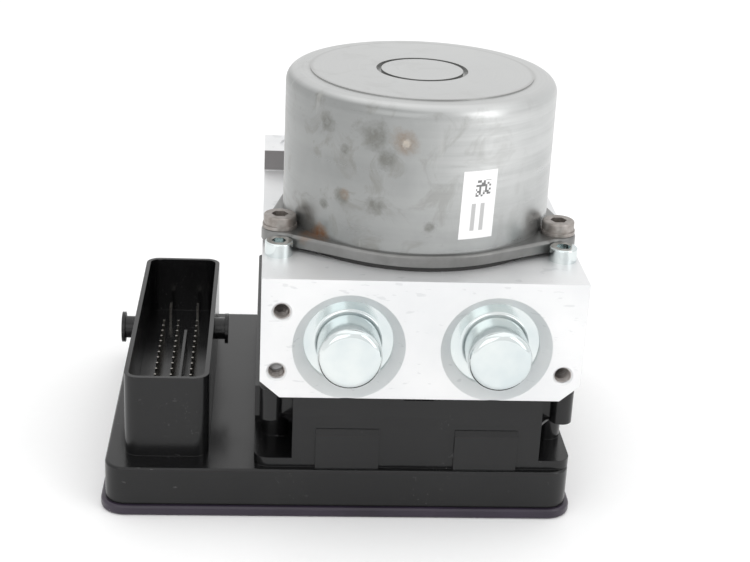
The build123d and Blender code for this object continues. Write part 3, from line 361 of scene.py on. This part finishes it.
def bright_zinc():
    g = Graph("bright zinc")
    cloud = g.noise(90.0, 3.0, 0.5)
    fine = g.noise(900.0, 3.0, 0.6)
    tone = g.mix(cloud.above(0.5, 0.2), (0.64, 0.70, 0.71), (0.77, 0.81, 0.80))
    return g.set(
        Base_Color=tone,
        Metallic=1.0,
        Roughness=(0.08 + cloud * 0.12).clamp(),
        Normal=g.bump(fine, 0.01, 0.3),
    )


def dull_screw():
    g = Graph("phosphated screw")
    grain = g.noise(1500.0, 3.0, 0.6)
    cloud = g.noise(400.0, 3.0, 0.5)
    tone = g.mix(cloud.above(0.5, 0.2), (0.26, 0.235, 0.215), (0.42, 0.39, 0.37))
    return g.set(
        Base_Color=tone,
        Metallic=0.8,
        Roughness=(0.32 + grain * 0.2).clamp(),
        Normal=g.bump(grain, 0.02, 0.4, rounding=0.2),
    )


def plain_steel(name, low, high, roughness):
    g = Graph(name)
    grain = g.noise(900.0, 3.0, 0.6)
    cloud = g.noise(120.0, 3.0, 0.5)
    return g.set(
        Base_Color=g.mix(cloud.above(0.5, 0.25), low, high),
        Metallic=0.9,
        Roughness=(roughness + (grain - 0.5) * 0.15).clamp(),
        Normal=g.bump(grain, 0.01, 0.4, rounding=0.15),
    )


def moulded_black():
    """The housing: black glass-filled plastic with dust and a few scuffs."""
    g = Graph("moulded black plastic")
    grain = g.noise(2600.0, 3.0, 0.6)
    cloud = g.noise(28.0, 4.0, 0.6)
    flow = g.noise(1.0, 3.0, 0.5, g.vector(g.x * 40, g.y * 90, g.z * 40))
    dust = g.cells(900.0).below(0.07, 0.03) * g.noise(60.0, 2.0, 0.5).above(0.6, 0.06)
    scuff = g.noise(1.0, 3.0, 0.7, g.vector(g.x * 160, g.y * 420, g.z * 420)).above(0.72, 0.02)
    tone = g.mix(cloud.above(0.5, 0.25), (0.004, 0.004, 0.0043), (0.009, 0.009, 0.0094))
    tone = g.mix(scuff * 0.35, tone, (0.12, 0.12, 0.12))
    tone = g.mix(dust * 0.6, tone, (0.42, 0.41, 0.40))
    return g.set(
        Base_Color=tone,
        Roughness=(0.19 + (flow - 0.5) * 0.16 + grain * 0.06 + dust * 0.2).clamp(),
        Specular_IOR_Level=0.4,
        Normal=g.bump(grain + scuff, 0.012, 0.5, rounding=0.25),
    )


def smooth_lid():
    g = Graph("smooth lid")
    cloud = g.noise(40.0, 3.0, 0.5)
    chips = g.cells(420.0).below(0.06, 0.03) * g.noise(90.0, 2.0, 0.5).above(0.58, 0.04)
    low_edge = g.z.below(0.0012, 0.0005)
    tone = g.mix(cloud.above(0.5, 0.2), (0.014, 0.009, 0.019), (0.026, 0.017, 0.034))
    tone = g.mix(chips * low_edge * 0.9, tone, (0.55, 0.52, 0.55))
    return g.set(
        Base_Color=tone,
        Roughness=(0.26 + cloud * 0.12).clamp(),
        Specular_IOR_Level=0.55,
        Normal=g.bump(cloud, 0.05, 0.3, rounding=0.3),
    )


def rubber():
    g = Graph("black rubber")
    grain = g.noise(1800.0, 3.0, 0.6)
    return g.set(
        Base_Color=g.mix(grain.above(0.5, 0.2), (0.014, 0.014, 0.014), (0.035, 0.034, 0.033)),
        Roughness=(0.6 + grain * 0.2).clamp(),
        Normal=g.bump(grain, 0.03, 0.5),
    )


def tinned_contact():
    g = Graph("tinned contact")
    grain = g.noise(1200.0, 3.0, 0.6)
    return g.set(
        Base_Color=g.mix(grain, (0.30, 0.28, 0.25), (0.50, 0.48, 0.45)),
        Metallic=1.0,
        Roughness=(0.22 + grain * 0.15).clamp(),
    )


def wound_copper():
    g = Graph("enamelled copper")
    turns = g.noise(1.0, 3.0, 0.5, g.vector(g.x * 60, g.y * 60, g.z * 2600))
    return g.set(
        Base_Color=g.mix(turns, (0.38, 0.15, 0.06), (0.72, 0.38, 0.20)),
        Metallic=0.7,
        Roughness=(0.3 + turns * 0.2).clamp(),
        Normal=g.bump(turns, 0.1, 0.7),
    )


def board_lacquer():
    g = Graph("lacquered board")
    tracks = g.cells(420.0, feature="DISTANCE_TO_EDGE").below(0.06, 0.02)
    return g.set(
        Base_Color=g.mix(tracks * 0.6, (0.012, 0.10, 0.035), (0.05, 0.22, 0.09)),
        Roughness=(0.3 + tracks * 0.15).clamp(),
        Normal=g.bump(tracks, 0.03, 0.5),
    )


def moulded_brown():
    g = Graph("brown moulding")
    grain = g.noise(1400.0, 3.0, 0.6)
    return g.set(
        Base_Color=g.mix(grain, (0.16, 0.10, 0.05), (0.26, 0.18, 0.10)),
        Roughness=(0.5 + grain * 0.15).clamp(),
        Normal=g.bump(grain, 0.02, 0.4),
    )


def label_film():
    """White film with a generic field of dots and two plain bars in place of print."""
    g = Graph("label film")
    fibre = g.noise(900.0, 3.0, 0.6)
    u, v, _ = g.parts(g.add("ShaderNodeUVMap"))
    squares = g.add(
        "ShaderNodeTexWhiteNoise",
        [g.vector((u * 17).math("FLOOR"), (v * 34).math("FLOOR"), 0.0)],
        noise_dimensions="3D",
    )
    crisp = 0.002
    field = u.between(0.38, 0.82, crisp) * v.between(0.62, 0.86, crisp)
    bars = u.between(0.30, 0.42, crisp) + u.between(0.56, 0.68, crisp)
    bars = bars * v.between(0.12, 0.52, crisp)
    ink = (field * squares.above(0.5, 0.01) + bars * 0.55).clamp()
    return g.set(
        Base_Color=g.mix(ink * 0.85, (0.86, 0.86, 0.86), (0.05, 0.05, 0.05)),
        Roughness=(0.42 + fibre * 0.1).clamp(),
        Normal=g.bump(fibre, 0.01, 0.3),
    )


def dark_thread():
    g = Graph("cut thread")
    cloud = g.noise(700.0, 3.0, 0.6)
    return g.set(
        Base_Color=g.mix(cloud, (0.30, 0.26, 0.24), (0.58, 0.55, 0.53)),
        Metallic=0.9,
        Roughness=(0.3 + cloud * 0.15).clamp(),
    )


finishes = {
    "block": machined_aluminium(),
    "can": drawn_steel(),
    "flange": flange_steel(),
    "zinc": bright_zinc(),
    "screw_steel": dull_screw(),
    "steel": plain_steel("ground steel", (0.45, 0.45, 0.45), (0.62, 0.62, 0.62), 0.28),
    "spring_steel": plain_steel("spring wire", (0.35, 0.35, 0.36), (0.55, 0.55, 0.56), 0.25),
    "magnet": plain_steel("ferrite", (0.05, 0.05, 0.055), (0.09, 0.09, 0.095), 0.55),
    "carbon": plain_steel("carbon brush", (0.03, 0.03, 0.03), (0.07, 0.07, 0.07), 0.6),
    "bronze": plain_steel("sintered bronze", (0.36, 0.24, 0.12), (0.50, 0.36, 0.20), 0.45),
    "housing": moulded_black(),
    "lid": smooth_lid(),
    "rubber": rubber(),
    "contact": tinned_contact(),
    "copper": wound_copper(),
    "board": board_lacquer(),
    "insulator": moulded_brown(),
}
label_finish = label_film()
thread_finish = dark_thread()

for subpart in frame["record"]["subparts"]:
    mesh = nodes[subpart["node"]].data
    mesh.materials.clear()
    mesh.materials.append(finishes[subpart["material_slot"]])


def new_piece(name, mesh, body):
    piece = bpy.data.objects.new(name, mesh)
    bpy.context.scene.collection.objects.link(piece)
    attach(piece, body)
    return piece


def make_label():
    """A thin film that lies on the can's side."""
    can_low, can_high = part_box("motor_can")
    can_radius = (can_high.x - can_low.x) / 2
    first, last = (math.asin(edge * MM / can_radius) for edge in (LABEL_LEFT, LABEL_RIGHT))
    lean = LABEL_LEAN * MM / can_radius
    columns, rows = 16, 6
    mesh = bpy.data.meshes.new("can_label")
    form = bmesh.new()
    uv = form.loops.layers.uv.new("film")
    grid = []
    for skin in (LABEL_LIFT + LABEL_THICKNESS, -LABEL_SUNK):
        for row in range(rows + 1):
            for column in range(columns + 1):
                u, v = column / columns, row / rows
                angle = first + (last - first) * u + lean * (v - 0.5)
                reach = can_radius + skin * MM
                grid.append(
                    form.verts.new(
                        (
                            reach * math.sin(angle),
                            -reach * math.cos(angle),
                            (LABEL_LOW + LABEL_HEIGHT * v) * MM,
                        )
                    )
                )
    back = (rows + 1) * (columns + 1)

    def vertex(skin, row, column):
        return skin * back + row * (columns + 1) + column

    faces = []
    for row in range(rows):
        for column in range(columns):
            corners = [(row, column), (row, column + 1), (row + 1, column + 1), (row + 1, column)]
            faces.append([vertex(0, *corner) for corner in corners])
            faces.append([vertex(1, *corner) for corner in reversed(corners)])
    rim = [(0, c) for c in range(columns)] + [(r, columns) for r in range(rows)]
    rim += [(rows, c) for c in range(columns, 0, -1)] + [(r, 0) for r in range(rows, 0, -1)]
    for here, there in zip(rim, rim[1:] + rim[:1]):
        faces.append([vertex(1, *here), vertex(1, *there), vertex(0, *there), vertex(0, *here)])
    for corners in faces:
        face = form.faces.new([grid[index] for index in corners])
        for loop, index in zip(face.loops, corners):
            flat = index % back
            loop[uv].uv = (flat % (columns + 1) / columns, flat // (columns + 1) / rows)
    bmesh.ops.recalc_face_normals(form, faces=form.faces)
    form.to_mesh(mesh)
    form.free()
    mesh.materials.append(label_finish)
    return new_piece("can_label", mesh, "module")


def thread_tree():
    """Geometry Nodes: a helical ridge that stands inside a drilled hole."""
    tree = bpy.data.node_groups.new("thread", "GeometryNodeTree")
    face = tree.interface
    face.new_socket("Geometry", in_out="OUTPUT", socket_type="NodeSocketGeometry")
    for name in ("Radius", "Pitch", "Length", "Depth"):
        face.new_socket(name, in_out="INPUT", socket_type="NodeSocketFloat")
    face.new_socket("Finish", in_out="INPUT", socket_type="NodeSocketMaterial")
    made = tree.nodes
    link = tree.links.new
    given = made.new("NodeGroupInput")
    result = made.new("NodeGroupOutput")

    def number(operation, first, second):
        node = made.new("ShaderNodeMath")
        node.operation = operation
        for socket, source in zip(node.inputs, (first, second)):
            if isinstance(source, (int, float)):
                socket.default_value = source
            else:
                link(source, socket)
        return node.outputs[0]

    spiral = made.new("GeometryNodeCurveSpiral")
    spiral.inputs["Resolution"].default_value = 20
    turns = number("DIVIDE", given.outputs["Length"], given.outputs["Pitch"])
    link(turns, spiral.inputs["Rotations"])
    link(given.outputs["Radius"], spiral.inputs["Start Radius"])
    link(given.outputs["Radius"], spiral.inputs["End Radius"])
    link(given.outputs["Length"], spiral.inputs["Height"])
    ridge = made.new("GeometryNodeCurvePrimitiveCircle")
    ridge.inputs["Resolution"].default_value = 4
    link(given.outputs["Depth"], ridge.inputs["Radius"])
    solid = made.new("GeometryNodeCurveToMesh")
    solid.inputs["Fill Caps"].default_value = True
    link(spiral.outputs[0], solid.inputs["Curve"])
    link(ridge.outputs[0], solid.inputs["Profile Curve"])
    real = made.new("GeometryNodeRealizeInstances")
    paint = made.new("GeometryNodeSetMaterial")
    link(solid.outputs[0], real.inputs[0])
    link(real.outputs[0], paint.inputs["Geometry"])
    link(given.outputs["Finish"], paint.inputs["Material"])
    link(paint.outputs[0], result.inputs[0])
    return tree


def make_threads():
    """One thread in each port and mounting hole, joined to one piece."""
    tree = thread_tree()
    sockets = tree.interface.items_tree
    keys = {item.name: item.identifier for item in sockets if item.in_out == "INPUT"}
    joined = bmesh.new()
    for mount in frame["record"]["mounts"]:
        if mount["kind"] != "threaded_hole":
            continue
        holder = bpy.data.objects.new("thread", bpy.data.meshes.new("thread"))
        bpy.context.scene.collection.objects.link(holder)
        modifier = holder.modifiers.new("thread", "NODES")
        modifier.node_group = tree
        radius, length = mount["dims"]["r_mm"] * MM, mount["dims"]["length_mm"] * MM
        modifier[keys["Radius"]] = radius + THREAD_SUNK * MM
        modifier[keys["Pitch"]] = THREAD_PITCH * MM
        modifier[keys["Length"]] = length - (THREAD_START + THREAD_END) * MM
        modifier[keys["Depth"]] = THREAD_DEPTH * MM
        modifier[keys["Finish"]] = thread_finish
        axis = Vector(mount["axis"])
        middle = Vector(mount["pos_m"])
        turn = Vector((0, 0, 1)).rotation_difference(axis).to_matrix().to_4x4()
        start = middle - axis * (length / 2 - THREAD_END * MM)
        bpy.context.view_layer.update()
        made = bpy.data.meshes.new_from_object(
            holder.evaluated_get(bpy.context.evaluated_depsgraph_get())
        )
        made.transform(Matrix.Translation(start) @ turn)
        joined.from_mesh(made)
        bpy.data.objects.remove(holder)
        bpy.data.meshes.remove(made)
    bmesh.ops.recalc_face_normals(joined, faces=joined.faces)
    mesh = bpy.data.meshes.new("port_threads")
    joined.to_mesh(mesh)
    joined.free()
    mesh.materials.append(thread_finish)
    return new_piece("port_threads", mesh, "module")


def close_springs():
    """Each coil gets a mesh of its own; how much of it would stay as its joint's stroke closes it
    is worked out, but not applied.
    """
    for joint in frame["record"]["behaviour"]["joints"]:
        for spring in joint.get("deforming_nodes", []):
            letter = spring["mode"][-1]
            axis = Vector([float(letter == each) for each in "xyz"])
            anchor = axis * spring[f"fixed_end_{letter}_m"]
            reaches = [abs((corner - anchor).dot(axis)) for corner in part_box(spring["node"])]
            keep = 1 - max(joint["range_m"]) / max(reaches)
            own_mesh(nodes[spring["node"]])


make_label()
make_threads()
close_springs()


def make_camera():
    yaw, pitch, roll = (math.radians(a) for a in (CAMERA_YAW, CAMERA_PITCH, CAMERA_ROLL))
    forward = Vector(
        (math.sin(yaw) * math.cos(pitch), math.cos(yaw) * math.cos(pitch), -math.sin(pitch))
    )
    level = Vector((math.cos(yaw), -math.sin(yaw), 0))
    upright = level.cross(forward)
    right = math.cos(roll) * level + math.sin(roll) * upright
    up = -math.sin(roll) * level + math.cos(roll) * upright
    data = bpy.data.cameras.new("camera")
    data.sensor_width = SENSOR_WIDTH
    data.lens = FOCAL_PIXELS * SENSOR_WIDTH / PHOTO_WIDTH
    data.clip_start, data.clip_end = 0.01, 20
    camera = bpy.data.objects.new("camera", data)
    turn = Matrix((right, up, -forward)).transposed().to_4x4()
    camera.matrix_world = Matrix.Translation(Vector(CAMERA_PLACE) * MM) @ turn
    bpy.context.scene.collection.objects.link(camera)
    bpy.context.scene.camera = camera


def make_floor():
    mesh = bpy.data.meshes.new("floor")
    half = FLOOR_SIZE / 2
    mesh.from_pydata(
        [(-half, -half, 0), (half, -half, 0), (half, half, 0), (-half, half, 0)], [], [(0, 1, 2, 3)]
    )
    floor = bpy.data.objects.new("floor", mesh)
    bpy.context.scene.collection.objects.link(floor)
    g = Graph("white paper")
    fibre = g.noise(300.0, 3.0, 0.6)
    g.set(Base_Color=g.mix(fibre, (0.96, 0.96, 0.96), (0.98, 0.98, 0.98)), Roughness=0.7)
    mesh.materials.append(g.material)


def make_world():
    """A plain white surround, which is also the background."""
    world = bpy.data.worlds.new("studio")
    bpy.context.scene.world = world
    world.use_nodes = True
    tree = world.node_tree
    tree.nodes.clear()
    output = tree.nodes.new("ShaderNodeOutputWorld")
    light = tree.nodes.new("ShaderNodeBackground")
    light.inputs["Color"].default_value = (1.0, 1.0, 1.0, 1.0)
    light.inputs["Strength"].default_value = 1.0
    tree.links.new(light.outputs[0], output.inputs[0])


def make_lamp(name, place, size, power):
    data = bpy.data.lights.new(name, "AREA")
    data.shape = "RECTANGLE"
    data.size, data.size_y = size
    data.energy = power
    lamp = bpy.data.objects.new(name, data)
    lamp.location = place
    lamp.rotation_mode = "QUATERNION"
    lamp.rotation_quaternion = (Vector(LAMP_AIM) - Vector(place)).to_track_quat("-Z", "Y")
    bpy.context.scene.collection.objects.link(lamp)


make_camera()
make_floor()
make_world()
for lamp_name, settings in LAMPS.items():
    make_lamp(lamp_name, *settings)

bpy.context.scene.view_settings.view_transform = "Standard"
